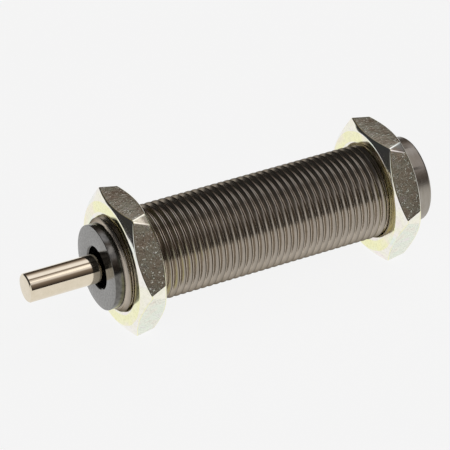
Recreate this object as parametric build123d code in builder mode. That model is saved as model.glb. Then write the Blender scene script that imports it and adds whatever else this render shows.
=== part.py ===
from build123d import *
import math
import os

# Industrial shock absorber: a threaded hydraulic cylinder with a self-returning rod and two lock nuts.
# All sizes are in millimetres. The axis lies along X, the rod points to -X, and +Z is up.
# The origin is on the axis, in the plane of the collar's front face, which is the positive stop.

# Fits: each one is a gap on the radius, or a gap between two faces along the axis
slide_gap = 0.03
piston_gap = 0.05
thread_gap = 0.05
fixed_gap = 0.02
seat_gap = 0.05
soft_gap = 0.10
washer_gap = 0.2
spring_gap = 0.38

# Gaps for the oil, on the radius
ring_oil_gap = 0.4
plate_oil_gap = 0.5
port_oil_gap = 1.0
tube_oil_gap = 1.4

# Rod
stroke = 15.0
rod_diameter = 6.0
rod_proud = 0.6
rod_tip_chamfer = 0.25
spigot_diameter = 4.0
spigot_chamfer = 0.3

# Piston stack on the rod's spigot. The check ring's width sets the bore of the pressure tube
valve_plate_thickness = 0.8
check_ring_thickness = 1.1
check_ring_width = 1.67
check_ring_travel = 0.45
ring_slot_count = 6
ring_slot_width = 1.0
ring_slot_depth = 0.35
piston_hub_wall = 0.88
piston_thickness = 3.2
passage_count = 6
passage_diameter = 1.2
passage_wall = 0.35
face_groove_depth = 0.3
spring_seat_thickness = 0.8
piston_nut_flats = 5.5
piston_nut_thickness = 2.0
spigot_end_length = 0.4

# Pressure tube and its base
tube_wall = 1.2
tube_collar_length = 2.0
notch_count = 4
notch_width = 3.0
return_port_diameter = 1.0
orifice_count = 6
orifice_diameter = 0.9
orifice_lead = 1.2
tube_base_thickness = 2.4
base_boss_length = 1.2

# Return spring, its round wire drawn as a square one of the same area
spring_wire = 0.9
spring_turns = 10

# Threaded cylinder with its plain rear head. Its wall makes the thread M20 x 1.5, 19.85 over the crests
body_wall = 2.325
thread_chamfer = 0.9
runout_length = 0.8
body_length = 70.9
head_length = 5.9
head_relief = 0.82
head_edge_radius = 0.5

# Front collar
collar_lap = 1.25
collar_flange = 2.0
collar_hole_gap = 1.35
collar_lip = 2.6
collar_edge = 0.15
hole_edge = 0.3

# Wiper, rod seal and its washer
wiper_width = 2.67
wiper_length = 3.36
wiper_lip_width = 0.6
seal_width = 2.47
seal_length = 3.0
seal_heel = 1.2
seal_lip_width = 0.7
washer_lap = 1.05
washer_thickness = 0.6

# Rod bearing with the groove for its static seal, a nose for the foam sleeve and a pilot for the tube
ring_groove_lead = 0.83
ring_groove_width = 1.7
ring_groove_depth = 1.2
ring_groove_land = 0.9
bearing_nose = 7.8
tube_seat_width = 0.6
pilot_length = 2.0
stop_boss_length = 1.2

# Oil filling plug
plug_shank_diameter = 5.0
plug_shank_length = 2.4
plug_seat_width = 1.5
plug_head_length = 2.0
plug_sink = 0.2
plug_socket_flats = 3.0
plug_socket_depth = 1.5
plug_edge = 0.3
plug_seal_thickness = 0.8
plug_end_wall = 0.6

# Lock nuts, 27 across the flats
nut_wall = 3.525
nut_thickness = 6.0
nut_corner_radius = 0.9
nut_face_inset = 0.55
nut_countersink_width = 0.72
nut_chamfer_angle = 30.0
front_nut_setback = 1.25

# Radii, from the rod outwards
rod_radius = rod_diameter / 2
guide_radius = rod_radius + slide_gap
spigot_radius = spigot_diameter / 2
stack_bore_radius = spigot_radius + fixed_gap
hub_radius = stack_bore_radius + piston_hub_wall
ring_hole_radius = hub_radius + ring_oil_gap
ring_radius = ring_hole_radius + check_ring_width
tube_bore_radius = ring_radius + slide_gap
piston_radius = tube_bore_radius - piston_gap
plate_radius = tube_bore_radius - plate_oil_gap
stop_boss_radius = tube_bore_radius - port_oil_gap
passage_radius = passage_diameter / 2
passage_circle_radius = piston_radius - passage_wall - passage_radius
wire_side = spring_wire * math.sqrt(math.pi) / 2
spring_radius = piston_nut_flats / math.sqrt(3) + spring_gap + wire_side / 2
nose_radius = tube_bore_radius + tube_seat_width
tube_outer_radius = tube_bore_radius + tube_wall
bore_radius = tube_outer_radius + tube_oil_gap
seated_radius = bore_radius - fixed_gap
groove_radius = bore_radius - ring_groove_depth
collar_radius = bore_radius + collar_lap
collar_hole_radius = rod_radius + collar_hole_gap
wiper_radius = guide_radius + wiper_width
seal_radius = guide_radius + seal_width
washer_radius = seal_radius + washer_lap
thread_radius = bore_radius + body_wall
head_radius = thread_radius - head_relief
plug_shank_radius = plug_shank_diameter / 2
plug_head_radius = plug_shank_radius + plug_seat_width

# Stations along the axis, from the front to the rear
body_front = collar_flange
body_rear = body_front + body_length
thread_end = body_rear - head_length
plug_head_rear = body_rear - plug_sink
plug_head_front = plug_head_rear - plug_head_length
plug_seal_front = plug_head_front - plug_seal_thickness
plug_front = plug_seal_front - plug_shank_length
bore_end = plug_front - plug_end_wall
wiper_front = collar_lip + fixed_gap
wiper_rear = wiper_front + wiper_length
bearing_front = wiper_rear + fixed_gap
washer_front = bearing_front + fixed_gap
seal_front = washer_front + washer_thickness + seat_gap
seal_rear = seal_front + seal_length
guide_front = seal_rear + soft_gap
groove_start = guide_front + ring_groove_lead
groove_end = groove_start + ring_groove_width
flange_end = groove_end + ring_groove_land
nose_end = flange_end + bearing_nose
pilot_end = nose_end + pilot_length
boss_end = pilot_end + stop_boss_length
valve_plate_front = boss_end + seat_gap
groove_front = valve_plate_front + valve_plate_thickness
piston_front = groove_front + fixed_gap + check_ring_thickness + check_ring_travel + seat_gap
piston_rear = piston_front + piston_thickness
spring_front = piston_rear + spring_seat_thickness
stack_end = spring_front + piston_nut_thickness
base_front = bore_end - tube_base_thickness

# Threaded cylinder: one turned piece, open at the front, with a solid rear head
with BuildPart() as body:
    with BuildSketch(Plane.XY):
        with BuildLine():
            Polyline(
                (body_front, bore_radius),
                (body_front, thread_radius - thread_chamfer),
                (body_front + thread_chamfer, thread_radius),
                (thread_end, thread_radius),
                (thread_end + runout_length, head_radius),
                (body_rear, head_radius),
                (body_rear, 0),
                (bore_end, 0),
                (bore_end, bore_radius),
                close=True,
            )
        make_face()
    revolve(axis=Axis.X)
    rear_rim = body.edges().filter_by(GeomType.CIRCLE).group_by(Axis.X)[-1].sort_by(SortBy.RADIUS)[-1]
    fillet(rear_rim, radius=head_edge_radius)
    with Locations(Plane(origin=(body_rear, 0, 0), z_dir=(1, 0, 0))):
        CounterBoreHole(
            radius=plug_shank_radius + fixed_gap,
            counter_bore_radius=plug_head_radius + soft_gap,
            counter_bore_depth=body_rear - plug_seal_front,
            depth=body_rear - bore_end,
        )
body.part.label = "body"

# Front collar: a flange that stops the load, and a spigot that holds the seals in the bore
with BuildPart() as front_collar:
    with BuildSketch(Plane.XY):
        with BuildLine():
            Polyline(
                (0, collar_hole_radius + hole_edge),
                (0, collar_radius - collar_edge),
                (collar_edge, collar_radius),
                (collar_flange - collar_edge, collar_radius),
                (collar_flange, collar_radius - collar_edge),
                (collar_flange, seated_radius),
                (bearing_front, seated_radius),
                (bearing_front, wiper_radius + fixed_gap),
                (collar_lip, wiper_radius + fixed_gap),
                (collar_lip, collar_hole_radius),
                (hole_edge, collar_hole_radius),
                close=True,
            )
        make_face()
    revolve(axis=Axis.X)
front_collar.part.label = "front_collar"

# Rod wiper: a rubber ring with one lip that points out of the cylinder
with BuildPart() as rod_wiper:
    with BuildSketch(Plane.XY):
        with BuildLine():
            Polyline(
                (wiper_front, guide_radius + wiper_lip_width),
                (wiper_front, wiper_radius),
                (wiper_rear, wiper_radius),
                (wiper_rear, guide_radius + 2 * wiper_lip_width),
                (wiper_front + 2 * wiper_lip_width, guide_radius),
                (wiper_front + wiper_lip_width, guide_radius),
                close=True,
            )
        make_face()
    revolve(axis=Axis.X)
rod_wiper.part.label = "rod_wiper"

# Washer that backs the rod seal and keeps the wiper in its seat
with BuildPart() as seal_washer:
    with BuildSketch(Plane.YZ.offset(washer_front)):
        Circle(washer_radius)
        Circle(rod_radius + washer_gap, mode=Mode.SUBTRACT)
    extrude(amount=washer_thickness)
seal_washer.part.label = "seal_washer"

# Rod seal: a U-cup with its open side towards the oil
with BuildPart() as rod_seal:
    with BuildSketch(Plane.XY):
        with BuildLine():
            Polyline(
                (seal_front, guide_radius),
                (seal_rear, guide_radius),
                (seal_rear, guide_radius + seal_lip_width),
                (seal_front + seal_heel, (guide_radius + seal_radius) / 2),
                (seal_rear, seal_radius - seal_lip_width),
                (seal_rear, seal_radius),
                (seal_front, seal_radius),
                close=True,
            )
        make_face()
    revolve(axis=Axis.X)
rod_seal.part.label = "rod_seal"

# Rod bearing: flange with the seal groove, nose for the foam, pilot for the tube, and the rod's outer stop
with BuildPart() as rod_bearing:
    with BuildSketch(Plane.XY):
        with BuildLine():
            Polyline(
                (bearing_front, washer_radius + fixed_gap),
                (bearing_front, seated_radius),
                (groove_start, seated_radius),
                (groove_start, groove_radius),
                (groove_end, groove_radius),
                (groove_end, seated_radius),
                (flange_end, seated_radius),
                (flange_end, nose_radius),
                (nose_end, nose_radius),
                (nose_end, tube_bore_radius - fixed_gap),
                (pilot_end, tube_bore_radius - fixed_gap),
                (pilot_end, stop_boss_radius),
                (boss_end, stop_boss_radius),
                (boss_end, guide_radius),
                (guide_front, guide_radius),
                (guide_front, seal_radius + fixed_gap),
                (seal_front, seal_radius + fixed_gap),
                (seal_front, washer_radius + fixed_gap),
                close=True,
            )
        make_face()
    revolve(axis=Axis.X)
rod_bearing.part.label = "rod_bearing"

# Static seal between the bearing and the bore: a ring of square section
with BuildPart() as bearing_seal:
    with BuildSketch(Plane.YZ.offset(groove_start + fixed_gap)):
        Circle(seated_radius)
        Circle(groove_radius + fixed_gap, mode=Mode.SUBTRACT)
    extrude(amount=ring_groove_width - 2 * fixed_gap)
bearing_seal.part.label = "bearing_seal"

# Foam sleeve that makes room for the oil which the rod pushes aside
with BuildPart() as accumulator_foam:
    with BuildSketch(Plane.YZ.offset(flange_end + soft_gap)):
        Circle(bore_radius - soft_gap)
        Circle(nose_radius + soft_gap, mode=Mode.SUBTRACT)
    extrude(amount=bearing_nose - 2 * soft_gap)
accumulator_foam.part.label = "accumulator_foam"

# Pressure tube: centring collars with oil notches at both ends, return ports and metering orifices
tube_rear = bore_end - seat_gap
with BuildPart() as pressure_tube:
    with BuildSketch(Plane.XY):
        with BuildLine():
            Polyline(
                (nose_end, tube_bore_radius),
                (nose_end, seated_radius),
                (nose_end + tube_collar_length, seated_radius),
                (nose_end + tube_collar_length, tube_outer_radius),
                (tube_rear - tube_collar_length, tube_outer_radius),
                (tube_rear - tube_collar_length, seated_radius),
                (tube_rear, seated_radius),
                (tube_rear, tube_bore_radius),
                close=True,
            )
        make_face()
    revolve(axis=Axis.X)
    # The notches run through both collars, so that the oil can pass between the tube and the bore
    with BuildSketch(Plane.YZ.offset(nose_end)):
        with PolarLocations(radius=(tube_outer_radius + bore_radius) / 2, count=notch_count):
            Rectangle(bore_radius - tube_outer_radius, notch_width)
    extrude(amount=tube_rear - nose_end, mode=Mode.SUBTRACT)
    # Two crossed drillings make four return ports between the pilot and the check ring
    port_centre = pilot_end + stop_boss_length / 2
    for port_direction in ((0, 1, 1), (0, -1, 1)):
        with BuildSketch(Plane(origin=(port_centre, 0, 0), z_dir=port_direction)):
            Circle(return_port_diameter / 2)
        extrude(amount=bore_radius, both=True, mode=Mode.SUBTRACT)
    # The orifices crowd together towards the end of the stroke, so the braking force stays even:
    # the share of them still open is the square root of the share of the stroke still to go
    for number in range(orifice_count):
        share_open = (orifice_count - number) / orifice_count
        orifice_x = piston_rear + orifice_lead + stroke * (1 - share_open**2)
        turn = 2 * math.pi * number / orifice_count
        with BuildSketch(Plane(origin=(orifice_x, 0, 0), z_dir=(0, math.cos(turn), math.sin(turn)))):
            Circle(orifice_diameter / 2)
        extrude(amount=bore_radius, mode=Mode.SUBTRACT)
pressure_tube.part.label = "pressure_tube"

# Tube base: a disc with a boss that centres the return spring
with BuildPart() as tube_base:
    with BuildSketch(Plane.YZ.offset(base_front)):
        Circle(tube_bore_radius - fixed_gap)
    extrude(amount=tube_base_thickness - seat_gap)
    with BuildSketch(Plane.YZ.offset(base_front)):
        Circle(spring_radius - wire_side / 2 - spring_gap)
    extrude(amount=-base_boss_length)
tube_base.part.label = "tube_base"

# Piston rod: ground bar with a turned spigot for the piston stack
rod_front = -(stroke + rod_proud)
rod_end = stack_end + spigot_end_length
with BuildPart() as piston_rod:
    with BuildSketch(Plane.XY):
        with BuildLine():
            Polyline(
                (rod_front, 0),
                (rod_front, rod_radius - rod_tip_chamfer),
                (rod_front + rod_tip_chamfer, rod_radius),
                (valve_plate_front, rod_radius),
                (valve_plate_front, spigot_radius),
                (rod_end - spigot_chamfer, spigot_radius),
                (rod_end, spigot_radius - spigot_chamfer),
                (rod_end, 0),
                close=True,
            )
        make_face()
    revolve(axis=Axis.X)
piston_rod.part.label = "piston_rod"

# Valve plate: front wall of the ring groove and the seat that the check ring shuts on
with BuildPart() as valve_plate:
    with BuildSketch(Plane.YZ.offset(valve_plate_front)):
        Circle(plate_radius)
        Circle(stack_bore_radius, mode=Mode.SUBTRACT)
    extrude(amount=valve_plate_thickness)
valve_plate.part.label = "valve_plate"

# Check ring: floats between the valve plate and the piston, and has oil slots in its rear face only
ring_front = groove_front + fixed_gap
with BuildPart() as check_ring:
    with BuildSketch(Plane.YZ.offset(ring_front)):
        Circle(ring_radius)
        Circle(ring_hole_radius, mode=Mode.SUBTRACT)
    extrude(amount=check_ring_thickness)
    with BuildSketch(Plane.YZ.offset(ring_front + check_ring_thickness)):
        with PolarLocations(radius=ring_hole_radius, count=ring_slot_count):
            Rectangle(2 * (passage_circle_radius - ring_hole_radius), ring_slot_width)
    extrude(amount=-ring_slot_depth, mode=Mode.SUBTRACT)
check_ring.part.label = "check_ring"

# Piston: a disc with return passages, and a hub that sets the width of the ring groove
with BuildPart() as piston:
    with BuildSketch(Plane.YZ.offset(groove_front)):
        Circle(hub_radius)
    extrude(amount=piston_front - groove_front)
    with BuildSketch(Plane.YZ.offset(piston_front)):
        Circle(piston_radius)
    extrude(amount=piston_thickness)
    with BuildSketch(Plane.YZ.offset(groove_front)):
        Circle(stack_bore_radius)
        with PolarLocations(radius=passage_circle_radius, count=passage_count):
            Circle(passage_radius)
    extrude(amount=piston_rear - groove_front, mode=Mode.SUBTRACT)
    # A shallow groove in the front face joins the passages, whichever way the check ring has turned
    with BuildSketch(Plane.YZ.offset(piston_front)):
        Circle(passage_circle_radius + passage_radius)
        Circle(passage_circle_radius - passage_radius, mode=Mode.SUBTRACT)
    extrude(amount=face_groove_depth, mode=Mode.SUBTRACT)
piston.part.label = "piston"

# Spring seat: washer behind the piston, notched in line with the passages
with BuildPart() as spring_seat:
    with BuildSketch(Plane.YZ.offset(piston_rear)):
        Circle(plate_radius)
        Circle(stack_bore_radius, mode=Mode.SUBTRACT)
        with PolarLocations(radius=passage_circle_radius, count=passage_count):
            Rectangle(2 * passage_diameter, passage_diameter, mode=Mode.SUBTRACT)
    extrude(amount=spring_seat_thickness)
spring_seat.part.label = "spring_seat"

# Piston nut: holds the stack against the rod's shoulder, inside the spring
with BuildPart() as piston_nut:
    with BuildSketch(Plane.YZ.offset(spring_front)):
        RegularPolygon(radius=piston_nut_flats / 2, side_count=6, major_radius=False)
        Circle(stack_bore_radius, mode=Mode.SUBTRACT)
    extrude(amount=piston_nut_thickness)
piston_nut.part.label = "piston_nut"

# Return spring: its centre line runs from seat to seat, and both ends are ground flat there
spring_length = base_front - spring_front
with BuildPart() as return_spring:
    with BuildLine():
        coil = Helix(
            pitch=spring_length / spring_turns,
            height=spring_length,
            radius=spring_radius,
            center=(spring_front, 0, 0),
            direction=(1, 0, 0),
        )
    with BuildSketch(Plane(origin=coil @ 0, x_dir=(0, 0, 1), z_dir=coil % 0)):
        Rectangle(wire_side, wire_side)
    sweep(path=coil, is_frenet=True)
    with BuildSketch(Plane.YZ.offset(spring_front + fixed_gap)):
        Circle(spring_radius + wire_side)
    extrude(amount=spring_length - 2 * fixed_gap, mode=Mode.INTERSECT)
return_spring.part.label = "return_spring"

# Filling plug: socket head screw sunk in the rear head
with BuildPart() as fill_plug:
    with BuildSketch(Plane.YZ.offset(plug_head_front)):
        Circle(plug_head_radius)
    extrude(amount=plug_head_length)
    chamfer(fill_plug.edges().filter_by(GeomType.CIRCLE).group_by(Axis.X)[-1], length=plug_edge)
    with BuildSketch(Plane.YZ.offset(plug_head_front)):
        Circle(plug_shank_radius - fixed_gap)
    extrude(amount=plug_front - plug_head_front)
    with BuildSketch(Plane.YZ.offset(plug_head_rear)):
        RegularPolygon(radius=plug_socket_flats / 2, side_count=6, major_radius=False)
    extrude(amount=-plug_socket_depth, mode=Mode.SUBTRACT)
fill_plug.part.label = "fill_plug"

# Sealing washer under the plug's head
with BuildPart() as plug_seal:
    with BuildSketch(Plane.YZ.offset(plug_seal_front)):
        Circle(plug_head_radius)
        Circle(plug_shank_radius + fixed_gap, mode=Mode.SUBTRACT)
    extrude(amount=plug_seal_thickness)
plug_seal.part.label = "plug_seal"

# Lock nuts: a hexagon with rounded corners, turned down at both ends to a round face, bored and countersunk
chamfer_slope = math.tan(math.radians(nut_chamfer_angle))
nut_bore_radius = thread_radius + thread_gap
nut_flat_radius = nut_bore_radius + nut_wall
nut_face_radius = nut_flat_radius - nut_face_inset
nut_reach = 2 * nut_flat_radius / math.sqrt(3)
chamfer_depth = (nut_reach - nut_face_radius) * chamfer_slope
sink_radius = nut_bore_radius + nut_countersink_width
sink_depth = nut_countersink_width * chamfer_slope
front_nut_front = body_front + front_nut_setback
rear_nut_front = thread_end + runout_length - nut_thickness
lock_nuts = []
for nut_name, nut_front in (("front_nut", front_nut_front), ("rear_nut", rear_nut_front)):
    nut_rear = nut_front + nut_thickness
    with BuildPart() as lock_nut:
        with BuildSketch(Plane.YZ.offset(nut_front)):
            RegularPolygon(radius=nut_flat_radius, side_count=6, major_radius=False)
        extrude(amount=nut_thickness)
        fillet(lock_nut.edges().filter_by(Axis.X), radius=nut_corner_radius)
        with BuildSketch(Plane.XY):
            with BuildLine():
                Polyline(
                    (nut_front, sink_radius),
                    (nut_front, nut_face_radius),
                    (nut_front + chamfer_depth, nut_reach),
                    (nut_rear - chamfer_depth, nut_reach),
                    (nut_rear, nut_face_radius),
                    (nut_rear, sink_radius),
                    (nut_rear - sink_depth, nut_bore_radius),
                    (nut_front + sink_depth, nut_bore_radius),
                    close=True,
                )
            make_face()
        revolve(axis=Axis.X, mode=Mode.INTERSECT)
    lock_nut.part.label = nut_name
    lock_nuts.append(lock_nut)

os.makedirs("parts", exist_ok=True)
export_step(body.part, "parts/body.step")
export_step(front_collar.part, "parts/front_collar.step")
export_step(rod_wiper.part, "parts/rod_wiper.step")
export_step(seal_washer.part, "parts/seal_washer.step")
export_step(rod_seal.part, "parts/rod_seal.step")
export_step(rod_bearing.part, "parts/rod_bearing.step")
export_step(bearing_seal.part, "parts/bearing_seal.step")
export_step(accumulator_foam.part, "parts/accumulator_foam.step")
export_step(pressure_tube.part, "parts/pressure_tube.step")
export_step(tube_base.part, "parts/tube_base.step")
export_step(piston_rod.part, "parts/piston_rod.step")
export_step(valve_plate.part, "parts/valve_plate.step")
export_step(check_ring.part, "parts/check_ring.step")
export_step(piston.part, "parts/piston.step")
export_step(spring_seat.part, "parts/spring_seat.step")
export_step(piston_nut.part, "parts/piston_nut.step")
export_step(return_spring.part, "parts/return_spring.step")
export_step(fill_plug.part, "parts/fill_plug.step")
export_step(plug_seal.part, "parts/plug_seal.step")
for lock_nut in lock_nuts:
    export_step(lock_nut.part, f"parts/{lock_nut.part.label}.step")
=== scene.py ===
"""Studio scene of a threaded hydraulic shock absorber with two lock nuts, built round its solids."""

import math

import bmesh
import bpy
import numpy as np
from mathutils import Matrix, Vector


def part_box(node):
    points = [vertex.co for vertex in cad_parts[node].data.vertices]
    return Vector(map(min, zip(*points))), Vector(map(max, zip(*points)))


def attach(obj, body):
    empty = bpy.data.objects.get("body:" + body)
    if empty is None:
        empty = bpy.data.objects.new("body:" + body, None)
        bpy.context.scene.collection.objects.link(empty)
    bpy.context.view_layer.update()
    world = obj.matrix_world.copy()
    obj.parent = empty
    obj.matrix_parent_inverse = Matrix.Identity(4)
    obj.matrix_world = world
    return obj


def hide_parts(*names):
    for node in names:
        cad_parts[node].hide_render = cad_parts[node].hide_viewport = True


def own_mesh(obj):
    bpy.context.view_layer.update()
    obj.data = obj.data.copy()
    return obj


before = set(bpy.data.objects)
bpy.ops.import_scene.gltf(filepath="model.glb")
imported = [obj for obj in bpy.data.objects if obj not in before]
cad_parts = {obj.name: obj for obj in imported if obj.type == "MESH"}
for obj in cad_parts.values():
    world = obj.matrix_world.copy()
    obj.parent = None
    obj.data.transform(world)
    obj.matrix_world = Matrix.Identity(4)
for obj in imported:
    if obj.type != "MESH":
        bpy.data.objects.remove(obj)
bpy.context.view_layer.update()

# Sizes are in metres. The part's axis is X, and what the solids say is read from the frame
MM = 0.001
FULL_TURN = 2 * math.pi
PITCH = 1.5 * MM
THREAD_DEPTH = 0.7 * MM
FLANK_ANGLE = math.radians(38.5)
# One crest lies here along the axis, at this angle round it
CREST_PLACE = 13.12 * MM
CREST_PLACE_ANGLE = math.radians(140.0)
THREAD_PHASE = CREST_PLACE - PITCH * CREST_PLACE_ANGLE / FULL_TURN
WELD = 0.5e-6
FIT_GAP = 0.02 * MM


# Meshes

def add_piece(name, sheets, body, slot, *nodes):
    """One object from several sheets of points. A sheet is a grid (rows, columns, 3) with a material number,
    or one for each column of faces, and its last column repeats its first where it goes round. Points that
    coincide are welded, which closes seams and poles and drops the faces that have shrunk to a line."""
    points, faces, numbers, start = [], [], [], 0
    for grid, number in sheets:
        rows, columns = grid.shape[:2]
        index = start + np.arange(rows * columns).reshape(rows, columns)
        quads = np.stack([index[:-1, :-1], index[:-1, 1:], index[1:, 1:], index[1:, :-1]], -1)
        points.append(grid.reshape(-1, 3))
        faces.append(quads.reshape(-1, 4))
        numbers.append(np.broadcast_to(number, (rows - 1, columns - 1)).reshape(-1))
        start += rows * columns
    mesh = bpy.data.meshes.new(name)
    mesh.from_pydata(np.concatenate(points).tolist(), [], np.concatenate(faces).tolist())
    mesh.polygons.foreach_set("material_index", np.concatenate(numbers))
    work = bmesh.new()
    work.from_mesh(mesh)
    bmesh.ops.remove_doubles(work, verts=work.verts, dist=WELD)
    bmesh.ops.recalc_face_normals(work, faces=work.faces)
    work.to_mesh(mesh)
    work.free()
    piece = bpy.data.objects.new(name, mesh)
    bpy.context.scene.collection.objects.link(piece)
    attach(piece, body)
    if nodes:
        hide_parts(*nodes)
    return piece


def shade(piece, angle, *materials):
    """Smooth faces, apart from edges that turn by more than angle degrees, and the materials in order."""
    for material in materials:
        piece.data.materials.append(material)
    piece.data.shade_smooth()
    piece.data.set_sharp_from_angle(angle=math.radians(angle))
    return piece


def ring(x, radius, angles):
    """Grid whose rows are circles, or closed lines, round the axis: (x, r cos a, r sin a)."""
    x, radius, angles = np.broadcast_arrays(x, radius, angles)
    return np.stack([x, radius * np.cos(angles), radius * np.sin(angles)], -1)


def turned(profile, angles):
    """Surface of revolution of a profile of (x, r) points about the axis."""
    profile = np.asarray(profile, float)
    return ring(profile[:, :1], profile[:, 1:], angles[None, :])


def eased(profile, reach, steps=4):
    """Profile whose inner corners are cut at a distance along both sides and bridged by parabolas.
    The reach is one length for all corners or one for each."""
    profile = np.asarray(profile, float)
    reach = np.broadcast_to(reach, len(profile) - 2)
    before = profile[:-2] - profile[1:-1]
    after = profile[2:] - profile[1:-1]
    first = profile[1:-1] + before * (reach / np.linalg.norm(before, axis=1))[:, None]
    last = profile[1:-1] + after * (reach / np.linalg.norm(after, axis=1))[:, None]
    t = np.linspace(0, 1, steps + 1)[None, :, None]
    curves = parabola(first[:, None], profile[1:-1, None], last[:, None], t)
    return np.concatenate([profile[:1], curves.reshape(-1, 2), profile[-1:]])


def round_angles(count):
    """Angles round the axis, the last one a full turn after the first."""
    return np.linspace(0, FULL_TURN, count + 1)


def parabola(first, corner, last, t):
    """Curve from the first point to the last that leaves and arrives along the lines to the corner:
    (1-t)^2 first + 2t(1-t) corner + t^2 last."""
    return (1 - t) ** 2 * first + 2 * t * (1 - t) * corner + t**2 * last


# The thread's form: its share of the full depth by the distance from the crest's middle, in pitches
CREST_HALF = 0.08
FLANK_RUN = THREAD_DEPTH * math.tan(FLANK_ANGLE) / PITCH
ROOT_BLEND = 0.07
CREST_BLEND = 0.1
FORM_STATIONS = np.array([0.0, 0.035, 0.055, 0.075, 0.095, 0.125, 0.28, 0.42, 0.45, 0.475, 0.5])


def soft_step(t, low_blend, high_blend):
    """0 below 0, 1 above 1 and t between, with a parabola of the given half width at each corner."""
    low = np.clip(t + low_blend, 0, 2 * low_blend) ** 2 / (4 * low_blend)
    low = low + np.clip(t - low_blend, 0, None)
    top = 1 - low
    high = np.clip(top + high_blend, 0, 2 * high_blend) ** 2 / (4 * high_blend)
    return 1 - (high + np.clip(top - high_blend, 0, None))


def helix_sheet(angles, start, stop, radius_of, phase):
    """Helical grid: row k lies at x = phase + pitch * (station k + angle / full turn), so that crests and
    roots follow its rows. Points past either end are drawn back to that end, where the radius is the same
    all round."""
    stations = np.concatenate([FORM_STATIONS[:-1], 1 - FORM_STATIONS[:0:-1]])
    first = math.floor((start - phase) / PITCH) - 2
    last = math.ceil((stop - phase) / PITCH) + 2
    rows = (np.arange(first, last)[:, None] + stations[None, :]).reshape(-1, 1)
    free_x = phase + PITCH * (rows + angles[None, :] / FULL_TURN)
    off_crest = np.abs((rows + 0.5) % 1 - 0.5)
    share = soft_step((CREST_HALF + FLANK_RUN - off_crest) / FLANK_RUN, ROOT_BLEND, CREST_BLEND)
    x = np.clip(free_x, start, stop)
    return ring(x, radius_of(x, share), angles[None, :])


# Materials

def new_material(name):
    """Material with a principled shader, and a helper that adds nodes to it."""
    material = bpy.data.materials.new(name)
    material.use_nodes = True
    tree = material.node_tree
    shader = tree.nodes["Principled BSDF"]

    def node(kind, settings=(), **inputs):
        made = tree.nodes.new(kind)
        for key, value in dict(settings).items():
            setattr(made, key, value)
        for key, value in inputs.items():
            socket = made.inputs[int(key[1:])] if key[0] == "n" and key[1:].isdigit() else made.inputs[key]
            if isinstance(value, bpy.types.NodeSocket):
                tree.links.new(value, socket)
            else:
                socket.default_value = value
        return made

    return material, tree, shader, node


def scaled_place(node, scale):
    """Object coordinates multiplied by a scale for each axis, so that noise can stretch along the grain."""
    place = node("ShaderNodeTexCoord").outputs["Object"]
    return node("ShaderNodeMapping", Vector=place, Scale=scale).outputs["Vector"]


def axis_distance(node):
    """Distance from the part's axis: the length of (0, y, z)."""
    place = node("ShaderNodeTexCoord").outputs["Object"]
    off_axis = node("ShaderNodeVectorMath", {"operation": "MULTIPLY"}, n0=place, n1=(0.0, 1.0, 1.0))
    return node("ShaderNodeVectorMath", {"operation": "LENGTH"}, n0=off_axis.outputs[0]).outputs["Value"]


def noise(node, scale, detail=3.0, roughness=0.55):
    """Noise whose grains are one over the scale's size, in metres, for each axis. A single number is the
    scale of all three."""
    scale = scale if isinstance(scale, tuple) else (scale, scale, scale)
    made = node("ShaderNodeTexNoise", Vector=scaled_place(node, scale), Scale=1.0, Detail=detail,
                Roughness=roughness)
    return made.outputs["Fac"]


def colour_ramp(node, value, *stops):
    """Colours by a value, from (position, colour) stops."""
    ramp = node("ShaderNodeValToRGB", Fac=value)
    elements = ramp.color_ramp.elements
    while len(elements) < len(stops):
        elements.new(0.5)
    for element, (position, colour) in zip(elements, stops):
        element.position = position
        element.color = (*colour, 1.0)
    return ramp.outputs["Color"]


def span(node, value, low, high):
    """A value from 0 to 1 drawn out between two numbers."""
    return node("ShaderNodeMapRange", Value=value, **{"To Min": low, "To Max": high}).outputs["Result"]


def share_between(node, value, low, high):
    """0 where a value is at the low number, 1 where it is at the high one."""
    return node("ShaderNodeMapRange", Value=value, **{"From Min": low, "From Max": high}).outputs["Result"]


def multiplied(node, colour, by, factor):
    """A colour multiplied by another, as far as the factor says."""
    mixed = node("ShaderNodeMix", {"data_type": "RGBA", "blend_type": "MULTIPLY"}, n0=factor, n6=colour,
                 n7=by)
    return mixed.outputs[2]


def finish_metal(tree, shader, node, colour, roughness, height, depth, metallic=1.0):
    """Links a colour, a roughness and a relief of the given depth to a material's shader."""
    relief = node("ShaderNodeBump", Height=height, Distance=depth, Strength=1.0)
    tree.links.new(colour, shader.inputs["Base Color"])
    tree.links.new(roughness, shader.inputs["Roughness"])
    tree.links.new(relief.outputs["Normal"], shader.inputs["Normal"])
    shader.inputs["Metallic"].default_value = metallic


def metal(name, dark, light, rough, grain, bump, bump_grain, metallic=1.0):
    """Metal whose tone, gloss and surface vary with noise. The grain is the scale for tone and gloss."""
    material, tree, shader, node = new_material(name)
    tone = noise(node, grain)
    colour = colour_ramp(node, tone, (0.3, dark), (0.7, light))
    fine = noise(node, bump_grain, detail=2.0)
    finish_metal(tree, shader, node, colour, span(node, tone, *rough), fine, bump, metallic)
    return material


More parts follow.
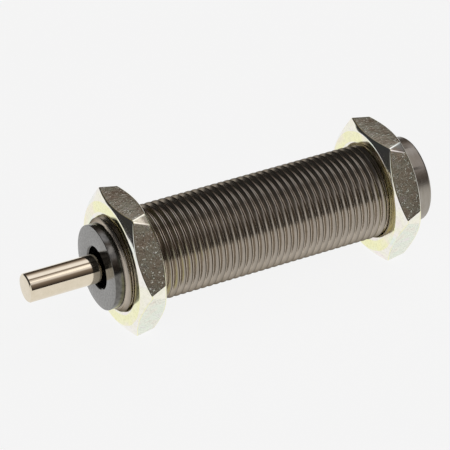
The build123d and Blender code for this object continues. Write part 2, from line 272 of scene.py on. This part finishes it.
def rolled_thread_steel(name, root, crest):
    """Rolled thread's steel with painted light and shade by the distance from the axis: lighter in the
    roots, which lifts the shade deep in the grooves, and darker towards the crests, which dims their
    reflection, with a fine grain that runs round the part. Root and crest are (radius, colour)."""
    material, tree, shader, node = new_material(name)
    height = share_between(node, axis_distance(node), root[0], crest[0])
    # Painted light and shade: the root colour is lighter to lift the shade in the grooves, the crest colour
    # darker to dim the crests' reflection
    painted_light_by_radius = colour_ramp(node, height, (0.0, root[1]), (1.0, crest[1]))
    tone = noise(node, (1500.0, 400.0, 400.0))
    streaks = colour_ramp(node, tone, (0.3, (0.86, 0.86, 0.85)), (0.7, (1.0, 1.0, 1.0)))
    fine = noise(node, (12000.0, 3000.0, 3000.0), detail=2.0)
    finish_metal(tree, shader, node, multiplied(node, painted_light_by_radius, streaks, 1.0), span(node, tone, 0.18, 0.26),
                 fine, 2e-6)
    shader.inputs["Specular Tint"].default_value = (0.25, 0.24, 0.22, 1.0)
    return material


def pearly_zinc(name, tints, rough, bump):
    """Passivated zinc with the pale tints of a thin film, which drift over a few millimetres, and a fine
    grain."""
    material, tree, shader, node = new_material(name)
    film = noise(node, 130.0, detail=2.0, roughness=0.5)
    grain = noise(node, 1500.0)
    clouding = colour_ramp(node, grain, (0.3, (0.88, 0.88, 0.86)), (0.55, (1.0, 1.0, 1.0)))
    colour = multiplied(node, colour_ramp(node, film, *tints), clouding, 0.8)
    finish_metal(tree, shader, node, colour, span(node, grain, *rough), grain, bump)
    return material


def turned_black(name):
    """Black oxide on a faced end: fine turning rings about the axis, from noise along the radius, and
    speckles of lighter steel."""
    material, tree, shader, node = new_material(name)
    speckle = noise(node, 2400.0, roughness=0.7)
    tone = colour_ramp(node, speckle, (0.28, (0.13, 0.128, 0.122)), (0.5, (0.225, 0.22, 0.212)),
                       (0.72, (0.33, 0.325, 0.315)))
    rings = node("ShaderNodeTexNoise", {"noise_dimensions": "1D"}, W=axis_distance(node), Scale=3500.0,
                 Detail=2.0)
    finish_metal(tree, shader, node, tone, span(node, speckle, 0.08, 0.22), rings.outputs["Fac"], 1.2e-5)
    return material


def mottled_zinc(name):
    """Passivated zinc on rolled hexagon stock: cloudy yellow, green and pink tints, patches of duller and
    brighter gloss, a pitted skin, and small raised specks that catch the light."""
    material, tree, shader, node = new_material(name)
    cloud = noise(node, 330.0, detail=4.0, roughness=0.65)
    tint = colour_ramp(node, cloud, (0.3, (0.82, 0.76, 0.66)), (0.44, (0.88, 0.88, 0.77)),
                       (0.56, (0.84, 0.9, 0.78)), (0.7, (0.93, 0.87, 0.85)))
    grain = noise(node, 2600.0, detail=2.0, roughness=0.6)
    pits = colour_ramp(node, grain, (0.34, (0.42, 0.4, 0.36)), (0.52, (1.0, 1.0, 1.0)))
    specks = share_between(node, noise(node, 2100.0, detail=1.0), 0.6, 0.75)
    dents = noise(node, 700.0, detail=2.0)
    skin = node("ShaderNodeMath", {"operation": "MULTIPLY_ADD"}, n0=specks, n1=1.1, n2=grain)
    height = node("ShaderNodeMath", {"operation": "MULTIPLY_ADD"}, n0=dents, n1=2.0, n2=skin.outputs[0])
    finish_metal(tree, shader, node, multiplied(node, tint, pits, 0.22), span(node, cloud, 0.04, 0.4),
                 height.outputs[0], 2.8e-5)
    return material


LATHE_GRAIN = (9000.0, 500.0, 500.0)

FILM_YELLOW = ((0.3, (0.93, 0.95, 0.68)), (0.42, (0.97, 0.95, 0.57)), (0.52, (0.97, 0.95, 0.64)),
               (0.6, (0.97, 0.9, 0.74)), (0.7, (0.91, 0.96, 0.76)))
FILM_PINK = ((0.3, (0.95, 0.87, 0.85)), (0.44, (0.96, 0.94, 0.8)), (0.56, (0.96, 0.92, 0.88)),
             (0.7, (0.87, 0.94, 0.86)))
head_steel = metal("taupe_turned_head", (0.33, 0.295, 0.25), (0.39, 0.36, 0.315), (0.3, 0.38),
                   (2500.0, 400.0, 400.0), 1.5e-6, LATHE_GRAIN)
polished_steel = metal("polished_rod_steel", (0.74, 0.655, 0.51), (0.8, 0.71, 0.565), (0.05, 0.09),
                       700.0, 0.4e-6, (900.0, 5000.0, 5000.0))
zinc_face = pearly_zinc("zinc_turned_face", FILM_YELLOW, (0.08, 0.16), 0.8e-6)
zinc_chamfer = pearly_zinc("zinc_turned_chamfer", FILM_PINK, (0.06, 0.12), 0.5e-6)
zinc_flat = mottled_zinc("zinc_rough_flat")
black_finish = metal("black_oxide_gloss", (0.08, 0.077, 0.072), (0.19, 0.183, 0.17), (0.1, 0.26),
                     900.0, 1.5e-6, 6000.0)
black_face = turned_black("turned_black_face")
inner_steel = metal("oiled_inner_steel", (0.42, 0.42, 0.41), (0.58, 0.57, 0.56), (0.22, 0.34),
                    (2500.0, 600.0, 600.0), 1.5e-6, LATHE_GRAIN)
spring_steel = metal("drawn_spring_wire", (0.3, 0.3, 0.31), (0.46, 0.46, 0.47), (0.25, 0.36),
                     900.0, 1.5e-6, 7000.0)
bearing_bronze = metal("bearing_bronze", (0.5, 0.33, 0.15), (0.66, 0.47, 0.24), (0.28, 0.4),
                       (2500.0, 500.0, 500.0), 1.5e-6, LATHE_GRAIN)
soft_copper = metal("soft_copper", (0.6, 0.29, 0.17), (0.76, 0.42, 0.27), (0.28, 0.42),
                    900.0, 2e-6, 6000.0)
seal_rubber = metal("seal_rubber", (0.016, 0.016, 0.017), (0.03, 0.03, 0.031), (0.5, 0.65),
                    1500.0, 5e-6, 9000.0, metallic=0.0)
sleeve_foam = metal("closed_cell_foam", (0.05, 0.05, 0.055), (0.12, 0.12, 0.125), (0.85, 0.95),
                    3000.0, 6e-5, 4000.0, metallic=0.0)

# Threaded cylinder: helical sheet, plain rear head, rear recess for the plug, and the bore
HEAD_STEP = 0.82 * MM
HEAD_LENGTH = 5.9 * MM
RUNOUT_LENGTH = 0.8 * MM
RECESS_FILLET = 0.1 * MM
body_low, body_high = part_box("body")
thread_radius = body_high.y
root_radius = thread_radius - THREAD_DEPTH
head_radius = thread_radius - HEAD_STEP
thread_end = body_high.x - HEAD_LENGTH
runout_end = thread_end + RUNOUT_LENGTH
front_land_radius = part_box("front_collar")[1].y + 0.1 * MM
front_edge_length = 0.65 * MM
head_edge = 0.5 * MM
bore_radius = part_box("rod_bearing")[1].y + FIT_GAP
bore_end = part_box("pressure_tube")[1].x + 0.05 * MM
plug_low, plug_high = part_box("fill_plug")
seal_low, seal_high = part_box("plug_seal")
recess_radius = plug_high.y + 0.1 * MM
plug_hole_radius = 2.52 * MM
recess_edge = 0.15 * MM


def body_radius(x, share):
    """Thread radius between a root that rises to the head's radius at the run-out, a bulging chamfer at the
    front end, which rises as 1 - (1 - share)^1.5, and a cone at the rear."""
    rise = np.clip((x - thread_end + PITCH) / (RUNOUT_LENGTH + PITCH), 0, 1)
    root = root_radius + (head_radius - root_radius) * rise**2 * (3 - 2 * rise)
    front_share = np.clip((x - body_low.x) / front_edge_length, 0, 1)
    bulge = 1 - (1 - front_share) ** 1.5
    front_edge = front_land_radius + (thread_radius - front_land_radius) * bulge
    rear_cone = head_radius + (runout_end - x) * HEAD_STEP / RUNOUT_LENGTH
    radius = root + (thread_radius - root) * share
    return np.minimum(np.maximum(np.minimum(radius, rear_cone), root), front_edge)


body_angles = round_angles(96)
body_thread = helix_sheet(body_angles, body_low.x, runout_end, body_radius, THREAD_PHASE)
body_rear = turned(eased([
    (runout_end, head_radius),
    (body_high.x, head_radius),
    (body_high.x, recess_radius),
    (seal_low.x, recess_radius),
    (seal_low.x, plug_hole_radius),
    (bore_end, plug_hole_radius),
], (head_edge, recess_edge, RECESS_FILLET, RECESS_FILLET), 6), body_angles)
body_inside = turned([
    (bore_end, plug_hole_radius),
    (bore_end, bore_radius),
    (body_low.x, bore_radius),
    (body_low.x, front_land_radius),
], body_angles)
THREADED, PLAIN = 0, 1
threaded_cylinder = add_piece("threaded_cylinder", [
    (body_thread, THREADED), (body_rear, PLAIN), (body_inside, PLAIN),
], "cylinder", "body_steel", "body")
# The lighter root colour and the darker crest colour paint light into the thread's grooves and shade onto
# its crests
threaded_steel = rolled_thread_steel("taupe_threaded_steel", (root_radius, (0.58, 0.51, 0.43)),
                                     (thread_radius, (0.37, 0.328, 0.28)))
shade(threaded_cylinder, 35, threaded_steel, head_steel)

# Lock nuts: hexagon whose corners are turned down, more so towards the rear, between a cone at each end.
# A shallow ring is sunk round the bore, which has the thread's counterform
NUT_CHAMFER = math.tan(math.radians(30))
NUT_FACE_INSET = 0.55 * MM
NUT_FRONT_CUT = 15.44 * MM
NUT_REAR_CUT = 14.88 * MM
NUT_CUT_EDGE = 0.2 * MM
NUT_EDGE = 0.2 * MM
NUT_CLEARANCE = 0.05 * MM
NUT_RING_WIDTH = 0.72 * MM
NUT_RING_DEPTH = 0.1 * MM
NUT_BORE_CHAMFER = 0.1 * MM
NUT_SIDES = 6
FACE, FLAT, CONE = 0, 1, 2
CUT_POINTS = 5
FLAT_STEPS = 17
END_POINTS = 5
# Two points on a corner's chord, near its ends, that keep its shading flat
CHORD_SHARES = np.array([[0.12], [0.88]])


def hexagon(flat_radius, cut_radius):
    """Angles and radii of a hexagon with one corner on each multiple of 60 degrees, cut off by a chord of
    the given radius. The chord's ends are eased by parabolas, and the points along a flat are even."""
    sixth_turn = FULL_TURN / NUT_SIDES
    half_cut = sixth_turn / 2 - math.acos(flat_radius / cut_radius)
    edge = cut_radius * np.array([math.cos(half_cut), math.sin(half_cut)])
    first = edge - NUT_CUT_EDGE * np.array([0.0, 1.0])
    last = edge + NUT_CUT_EDGE * np.array([-math.sin(sixth_turn / 2), math.cos(sixth_turn / 2)])
    upper = parabola(first, edge, last, np.linspace(0, 1, CUT_POINTS)[:, None])
    lower = upper[::-1] * [1, -1]
    cosine, sine = math.cos(sixth_turn), math.sin(sixth_turn)
    next_start = np.array([cosine * lower[0, 0] - sine * lower[0, 1],
                           sine * lower[0, 0] + cosine * lower[0, 1]])
    share = np.linspace(0, 1, FLAT_STEPS + 1)[1:-1, None]
    chord = lower[-1] + (upper[0] - lower[-1]) * CHORD_SHARES
    sixth = np.concatenate([lower, chord, upper, upper[-1] + (next_start - upper[-1]) * share])
    own_angles = np.arctan2(sixth[:, 1], sixth[:, 0])
    angles = (sixth_turn * np.arange(NUT_SIDES)[:, None] + own_angles).reshape(-1)
    radii = np.tile(np.hypot(sixth[:, 0], sixth[:, 1]), NUT_SIDES)
    return np.append(angles, angles[0] + FULL_TURN), np.append(radii, radii[0])


def nut_end(face, inwards, angles, radii, face_radius, sink_radius):
    """One end of a nut's skin, from the sunk ring's rim to the flats: at each angle a face ring, a cone
    that rises to the hexagon, and the flat's first stretch, with eased edges. The cone reaches the flat
    where its radius says, which makes the arcs on the flats. Rows are (distance from the face, r) for every
    angle."""
    rise = (radii - face_radius) * NUT_CHAMFER
    rim = np.stack([0 * radii, 0 * radii + sink_radius], -1)
    base = np.stack([0 * radii, 0 * radii + face_radius], -1)
    top = np.stack([rise, radii], -1)
    beyond = np.stack([rise + 1 * MM, radii], -1)
    t = np.linspace(0, 1, END_POINTS)[:, None, None]

    def rounded(before, corner, after, reach):
        to_before = before - corner
        to_after = after - corner
        first = corner + to_before * (reach / np.linalg.norm(to_before, axis=-1, keepdims=True))
        last = corner + to_after * (reach / np.linalg.norm(to_after, axis=-1, keepdims=True))
        return parabola(first, corner, last, t)

    reach = np.minimum(NUT_EDGE, 0.4 * np.linalg.norm(top - base, axis=-1, keepdims=True))
    rows = np.concatenate([rim[None], rounded(rim, base, top, reach), rounded(base, top, beyond, reach)])
    return ring(face + inwards * rows[..., 0], rows[..., 1], angles)


def make_nut(name, node, body):
    """A lock nut at its node's place, with one zinc finish on the faces, one on the cones and a rough one
    on the flats."""
    low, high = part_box(node)
    flat_radius = high.z
    face_radius = flat_radius - NUT_FACE_INSET
    bore = thread_radius + NUT_CLEARANCE
    crest_radius = root_radius + NUT_CLEARANCE
    sink_radius = bore + NUT_RING_WIDTH
    ring_radius = bore + NUT_BORE_CHAMFER
    start, stop = low.x + NUT_RING_DEPTH, high.x - NUT_RING_DEPTH

    def bore_radius_of(x, share):
        sink = ring_radius - np.minimum(x - start, stop - x) / NUT_CHAMFER
        return np.maximum(crest_radius + (bore - crest_radius) * share, sink)

    front_angles, front_radii = hexagon(flat_radius, NUT_FRONT_CUT)
    rear_angles, rear_radii = hexagon(flat_radius, NUT_REAR_CUT)
    front_skin = nut_end(low.x, 1, front_angles, front_radii, face_radius, sink_radius)
    rear_skin = nut_end(high.x, -1, rear_angles, rear_radii, face_radius, sink_radius)
    front_ring = np.stack([ring(start, ring_radius, front_angles), front_skin[0]])
    rear_ring = np.stack([rear_skin[0], ring(stop, ring_radius, front_angles)])
    flats = np.stack([front_skin[-1], rear_skin[-1]])
    around = np.tile([CONE] * (2 * CUT_POINTS + 1) + [FLAT] * FLAT_STEPS, NUT_SIDES)
    inside = helix_sheet(front_angles, start, stop, bore_radius_of, THREAD_PHASE)
    nut = add_piece(name, [
        (front_ring, CONE), (front_skin[:4], FACE), (front_skin[3:9], CONE), (front_skin[8:], FACE),
        (flats, around),
        (rear_skin[8:], FACE), (rear_skin[3:9], CONE), (rear_skin[:4], FACE), (rear_ring, CONE),
        (inside, FACE),
    ], body, "zinc_plate", node)
    return shade(nut, 40, zinc_face, zinc_flat, zinc_chamfer)


make_nut("front_lock_nut", "front_nut", "front_lock_nut")
make_nut("rear_lock_nut", "rear_nut", "rear_lock_nut")

# Stop collar and polished rod: turned pieces with eased edges
collar_low, collar_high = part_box("front_collar")
collar_radius = collar_high.y
collar_hole_radius = 4.35 * MM
collar_hole_chamfer = 0.3 * MM
seat_radius = bore_radius - FIT_GAP
wiper_low, wiper_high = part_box("rod_wiper")
wiper_seat_radius = wiper_high.y + FIT_GAP
wiper_seat = wiper_low.x - FIT_GAP
FINE_EDGE = 0.05 * MM
RIM_EDGE = 0.12 * MM
fine_angles = round_angles(192)
collar_skin = turned(eased([
    (wiper_seat, collar_hole_radius),
    (collar_low.x + collar_hole_chamfer, collar_hole_radius),
    (collar_low.x, collar_hole_radius + collar_hole_chamfer),
    (collar_low.x, collar_radius),
    (body_low.x, collar_radius),
    (body_low.x, seat_radius),
    (collar_high.x, seat_radius),
    (collar_high.x, wiper_seat_radius),
    (wiper_seat, wiper_seat_radius),
    (wiper_seat, collar_hole_radius),
], (FINE_EDGE, FINE_EDGE, RIM_EDGE, RIM_EDGE, FINE_EDGE, 2 * FINE_EDGE, FINE_EDGE, FINE_EDGE)), fine_angles)
GLOSSY, FACED = 0, 1
stop_collar = add_piece("stop_collar", [
    (collar_skin[:7], GLOSSY), (collar_skin[6:13], FACED), (collar_skin[12:], GLOSSY),
], "cylinder", "black_steel", "front_collar")
shade(stop_collar, 35, black_finish, black_face)

rod_low, rod_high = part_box("piston_rod")
rod_radius = rod_high.y
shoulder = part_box("valve_plate")[0].x
spigot_radius = 2.0 * MM
tip_chamfer = 0.25 * MM
rod_skin = turned(eased([
    (rod_low.x, 0.0),
    (rod_low.x, rod_radius - tip_chamfer),
    (rod_low.x + tip_chamfer, rod_radius),
    (shoulder, rod_radius),
    (shoulder, spigot_radius),
    (rod_high.x, spigot_radius),
    (rod_high.x, 0.0),
], (0.08 * MM, 0.08 * MM, 0.1 * MM, 0.1 * MM, 0.3 * MM)), fine_angles)
polished_rod = add_piece("polished_rod", [(rod_skin, 0)], "rod", "rod_steel", "piston_rod")
shade(polished_rod, 35, polished_steel)

# Return spring: round wire on a helix, its end turns closed up and cut flat at the seats
spring_low, spring_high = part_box("return_spring")
WIRE_RADIUS = 0.45 * MM
COIL_RADIUS = spring_high.y - 0.4 * MM
COIL_TURNS = 10
CLOSED_TURNS = 1
STEPS_PER_TURN = 44
STEPS_ROUND_WIRE = 12
# Climb of a closed end turn, in wire diameters
CLOSED_CLIMB = 0.62


def spring_sheet(length, start):
    """Tube of wire along a helix. The climb is slow over the closed end turns and even between them, and
    points beyond the seats are drawn back to them, which grinds the ends flat."""
    turn = np.linspace(0, COIL_TURNS, COIL_TURNS * STEPS_PER_TURN + 1)
    closed = CLOSED_CLIMB * 2 * WIRE_RADIUS
    open_climb = (length - 2 * closed * CLOSED_TURNS) / (COIL_TURNS - 2 * CLOSED_TURNS)
    leaves_front = np.clip((turn - CLOSED_TURNS + 0.25) * 2, 0, 1)
    meets_rear = np.clip((COIL_TURNS - CLOSED_TURNS + 0.25 - turn) * 2, 0, 1)
    climb = closed + (open_climb - closed) * leaves_front * meets_rear
    x = np.concatenate([[0], np.cumsum((climb[1:] + climb[:-1]) / 2 * np.diff(turn))])
    x = x * length / x[-1]
    around = round_angles(STEPS_ROUND_WIRE)
    angle = turn[:, None] * 2 * np.pi
    wire_x = np.clip(x[:, None] + WIRE_RADIUS * np.sin(around), 0, length)
    return ring(start + wire_x, COIL_RADIUS + WIRE_RADIUS * np.cos(around), angle + 0 * around)


def wire_end(row):
    """Flat cap of a wire: its ring of points drawn to their middle."""
    middle = row[:-1].mean(0)
    return np.stack([row, np.broadcast_to(middle, row.shape)])


spring_length = spring_high.x - spring_low.x
coil = spring_sheet(spring_length, spring_low.x)
coil_spring = add_piece("coil_spring", [(coil, 0), (wire_end(coil[0]), 0), (wire_end(coil[-1]), 0)],
                        "cylinder", "spring_steel", "return_spring")
shade(coil_spring, 50, spring_steel)
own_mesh(coil_spring)

# Finishes of the inner pieces, which keep their solids' shapes
for node_name, material in {
    "fill_plug": black_finish,
    "plug_seal": soft_copper,
    "rod_wiper": seal_rubber,
    "rod_seal": seal_rubber,
    "bearing_seal": seal_rubber,
    "seal_washer": inner_steel,
    "rod_bearing": bearing_bronze,
    "check_ring": bearing_bronze,
    "accumulator_foam": sleeve_foam,
    "pressure_tube": inner_steel,
    "tube_base": inner_steel,
    "valve_plate": inner_steel,
    "piston": inner_steel,
    "spring_seat": inner_steel,
    "piston_nut": inner_steel,
}.items():
    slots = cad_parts[node_name].data.materials
    slots.clear()
    slots.append(material)

# Studio: floor under the nuts, a soft box overhead, and a dim room round them
FLOOR_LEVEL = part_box("front_nut")[0].z
FLOOR_HALF_SIDE = 3.0
FLOOR_GLOW_SHARE = 0.88
TARGET = (0.03, 0.0, 0.0)


def stage_plane(name, centre, across, along, material):
    """Flat rectangle with the given half sides, as vectors, round its centre."""
    centre, across, along = (np.array(v, float) for v in (centre, across, along))
    corners = [centre - across - along, centre + across - along,
               centre + across + along, centre - across + along]
    mesh = bpy.data.meshes.new(name)
    mesh.from_pydata([tuple(c) for c in corners], [], [(0, 1, 2, 3)])
    mesh.materials.append(material)
    plane = bpy.data.objects.new(name, mesh)
    bpy.context.scene.collection.objects.link(plane)
    return plane


floor_material, floor_tree, floor_shader, floor_node = new_material("white_floor")
floor_shader.inputs["Base Color"].default_value = (0.86, 0.86, 0.86, 1.0)
floor_shader.inputs["Roughness"].default_value = 0.6
light_path = floor_node("ShaderNodeLightPath")
floor_glow = floor_node("ShaderNodeEmission", Color=(1.0, 1.0, 1.0, 1.0), Strength=1.0)
straight_rays = floor_node("ShaderNodeMath", {"operation": "MAXIMUM"},
                           n0=light_path.outputs["Is Camera Ray"], n1=light_path.outputs["Is Glossy Ray"])
seen_rays = floor_node("ShaderNodeMath", {"operation": "MAXIMUM"}, n0=straight_rays.outputs[0],
                       n1=light_path.outputs["Is Transmission Ray"])
floor_share = floor_node("ShaderNodeMath", {"operation": "MULTIPLY"}, n0=seen_rays.outputs[0],
                         n1=FLOOR_GLOW_SHARE)
floor_mix = floor_node("ShaderNodeMixShader", n0=floor_share.outputs[0], n1=floor_shader.outputs[0],
                       n2=floor_glow.outputs[0])
floor_tree.links.new(floor_mix.outputs[0], floor_tree.nodes["Material Output"].inputs["Surface"])
stage_plane("floor", (TARGET[0], TARGET[1], FLOOR_LEVEL), (FLOOR_HALF_SIDE, 0, 0), (0, FLOOR_HALF_SIDE, 0),
            floor_material)


def soft_box(name, place, target, width, height, power, colour=(1.0, 0.985, 0.96)):
    """Rectangular lamp that faces a target point."""
    data = bpy.data.lights.new(name, "AREA")
    data.shape = "RECTANGLE"
    data.size = width
    data.size_y = height
    data.energy = power
    data.color = colour
    lamp = bpy.data.objects.new(name, data)
    bpy.context.scene.collection.objects.link(lamp)
    lamp.location = place
    back = (np.array(place, float) - np.array(target, float))
    back /= np.linalg.norm(back)
    lamp.rotation_mode = "QUATERNION"
    lamp.rotation_quaternion = Vector(back).to_track_quat("Z", "Y")
    return lamp


soft_box("overhead_soft_box", (0.25, -0.15, 0.55), TARGET, 0.36, 0.12, 0.07)

# The room: a white rim level with the floor, dim walls, a soft window low at the front left, and two soft
# ceilings with a dark seam between them that are cut off towards either end of the part
world = bpy.data.worlds.new("studio_room")
bpy.context.scene.world = world
world.use_nodes = True
world_tree = world.node_tree


def room_node(kind, settings=(), **inputs):
    """World node whose numbered inputs are values or other nodes' outputs."""
    made = world_tree.nodes.new(kind)
    for key, value in dict(settings).items():
        setattr(made, key, value)
    for key, value in inputs.items():
        socket = made.inputs[int(key[1:])]
        if isinstance(value, bpy.types.NodeSocket):
            world_tree.links.new(value, socket)
        else:
            socket.default_value = value
    return made


def room_math(operation, first, second):
    """Product, quotient, angle or larger one of two values."""
    return room_node("ShaderNodeMath", {"operation": operation}, n0=first, n1=second).outputs[0]


def room_fade(value, start, stop, start_level, stop_level):
    """Smooth step of a value from one level to another."""
    faded = room_node("ShaderNodeMapRange", {"interpolation_type": "SMOOTHSTEP"}, n0=value, n1=start,
                      n2=stop, n3=start_level, n4=stop_level)
    return faded.outputs["Result"]


# Light of the ceilings by the angle over the axis, from the far side over the top to the camera's side
CEILING_LIGHT = (
    (0, 0.04), (20, 0.06), (34, 0.12), (48, 0.5), (62, 1.0), (83, 1.1), (90, 0.24), (95, 0.27),
    (103, 0.8), (127, 0.9), (140, 0.26), (156, 0.13), (172, 0.04),
)
LOW_LEFT_WINDOW = (-0.8, -0.55, 0.24)
LOW_LEFT_LEVEL = 0.9
RIM_LEVEL = 1.0
DIM_LEVEL = 0.035
direction = room_node("ShaderNodeTexCoord").outputs["Generated"]
parts = room_node("ShaderNodeSeparateXYZ", n0=direction).outputs
over_axis = room_math("DIVIDE", room_math("ARCTAN2", parts["Z"], parts["Y"]), math.pi)
ceiling = room_node("ShaderNodeValToRGB", n0=over_axis)
tones = ceiling.color_ramp.elements
while len(tones) < len(CEILING_LIGHT):
    tones.new(0.5)
for tone, (degrees, level) in zip(tones, CEILING_LIGHT):
    tone.position = degrees / 180
    shadow = 1 - min(level, 1.0)
    tone.color = (level, level * (1 - 0.23 * shadow), level * (1.05 - 0.44 * shadow), 1.0)
front_end = room_fade(parts["X"], -0.08, 0.27, 0.07, 1.05)
rear_end = room_fade(parts["X"], 0.5, 0.76, 1.0, 0.06)
ends = room_math("MULTIPLY", front_end, rear_end)
overhead = room_node("ShaderNodeVectorMath", {"operation": "SCALE"}, n0=ceiling.outputs["Color"], n3=ends)
rim = room_fade(parts["Z"], 0.02, 0.05, RIM_LEVEL, DIM_LEVEL)
low_left = room_node("ShaderNodeVectorMath", {"operation": "DOT_PRODUCT"}, n0=direction, n1=LOW_LEFT_WINDOW)
low_window = room_fade(low_left.outputs["Value"], 0.89, 0.97, 0.0, LOW_LEFT_LEVEL)
walls = room_math("MAXIMUM", rim, low_window)
glow = room_node("ShaderNodeVectorMath", {"operation": "MAXIMUM"}, n0=overhead.outputs[0], n1=walls)
room_light = room_node("ShaderNodeBackground", n0=glow.outputs[0], n1=1.0)
world_tree.links.new(room_light.outputs[0], world_tree.nodes["World Output"].inputs["Surface"])

# Camera, at the photograph's angle
CAMERA_AZIMUTH = math.radians(-27.371)
CAMERA_ELEVATION = math.radians(31.179)
CAMERA_ROLL = math.radians(-0.984)
CAMERA_DISTANCE = 534.04 * MM
CAMERA_LENS = 209.28
AIM_ON_AXIS = 29.14 * MM
AIM_LEFT = 0.102 * MM
AIM_UP = 1.187 * MM
camera_back = np.array([math.sin(CAMERA_AZIMUTH) * math.cos(CAMERA_ELEVATION),
                        -math.cos(CAMERA_AZIMUTH) * math.cos(CAMERA_ELEVATION),
                        math.sin(CAMERA_ELEVATION)])
level_right = np.array([math.cos(CAMERA_AZIMUTH), math.sin(CAMERA_AZIMUTH), 0.0])
level_up = np.cross(camera_back, level_right)
camera_right = level_right * math.cos(CAMERA_ROLL) + level_up * math.sin(CAMERA_ROLL)
camera_up = np.cross(camera_back, camera_right)
camera_data = bpy.data.cameras.new("photo_camera")
camera_data.lens = CAMERA_LENS
camera_data.sensor_width = 36.0
camera_data.clip_start = 0.01
camera_data.clip_end = 20.0
camera = bpy.data.objects.new("photo_camera", camera_data)
bpy.context.scene.collection.objects.link(camera)
camera_place = (np.array([AIM_ON_AXIS, 0.0, 0.0]) + camera_back * CAMERA_DISTANCE
                - camera_right * AIM_LEFT + camera_up * AIM_UP)
camera.matrix_world = Matrix([
    [camera_right[0], camera_up[0], camera_back[0], camera_place[0]],
    [camera_right[1], camera_up[1], camera_back[1], camera_place[1]],
    [camera_right[2], camera_up[2], camera_back[2], camera_place[2]],
    [0, 0, 0, 1],
])
bpy.context.scene.camera = camera
bpy.context.scene.view_settings.view_transform = "Standard"
